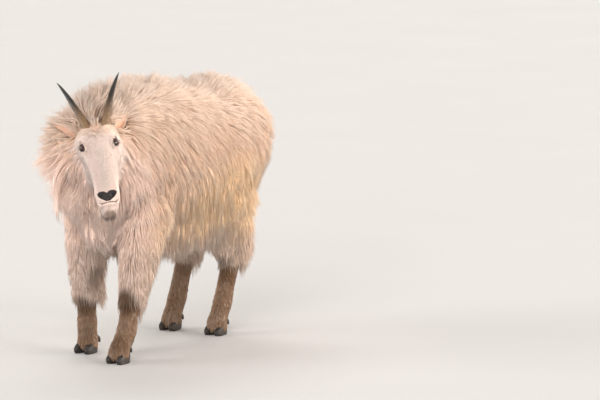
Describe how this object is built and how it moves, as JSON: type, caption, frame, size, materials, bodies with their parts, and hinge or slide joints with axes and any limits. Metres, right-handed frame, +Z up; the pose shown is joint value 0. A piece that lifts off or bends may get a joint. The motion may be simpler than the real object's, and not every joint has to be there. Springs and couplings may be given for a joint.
{
  "type": "mountain goat",
  "caption": "Life-size standing mountain goat in a long shaggy coat, with slim back-curved horns, a beard and its head turned to one side.",
  "frame": {"origin": "centre of the animal's box on the floor it stands on", "axes": "+Z up; the animal faces -Y and its left side is +X, with the head turned to its left"},
  "size_m": [0.4776, 1.0718, 0.9323],
  "materials": {
    "coat": "long matt fur, cream white on the back and warm yellow low on the flanks",
    "horn": "satin keratin, ringed olive brown at the base and near black at the tips",
    "hoof": "dull dark keratin",
    "eye": "wet, dark reddish brown",
    "nose": "moist dark skin"
  },
  "bodies": {
    "root": {"torso": "coat", "neck": "coat", "head": "coat", "nose_pad": "nose", "tail": "coat", "eye_left": "eye", "horn_left": "horn", "ear_left": "coat", "eye_right": "eye", "horn_right": "horn", "ear_right": "coat", "foreleg_left_upper": "coat", "foreleg_left_lower": "coat", "foreleg_left_toe_inner": "hoof", "foreleg_left_dewclaw_inner": "hoof", "foreleg_left_toe_outer": "hoof", "foreleg_left_dewclaw_outer": "hoof", "foreleg_right_upper": "coat", "foreleg_right_lower": "coat", "foreleg_right_toe_outer": "hoof", "foreleg_right_dewclaw_outer": "hoof", "foreleg_right_toe_inner": "hoof", "foreleg_right_dewclaw_inner": "hoof", "hindleg_left_upper": "coat", "hindleg_left_lower": "coat", "hindleg_left_toe_inner": "hoof", "hindleg_left_dewclaw_inner": "hoof", "hindleg_left_toe_outer": "hoof", "hindleg_left_dewclaw_outer": "hoof", "hindleg_right_upper": "coat", "hindleg_right_lower": "coat", "hindleg_right_toe_outer": "hoof", "hindleg_right_dewclaw_outer": "hoof", "hindleg_right_toe_inner": "hoof", "hindleg_right_dewclaw_inner": "hoof"}
  },
  "joints": []
}
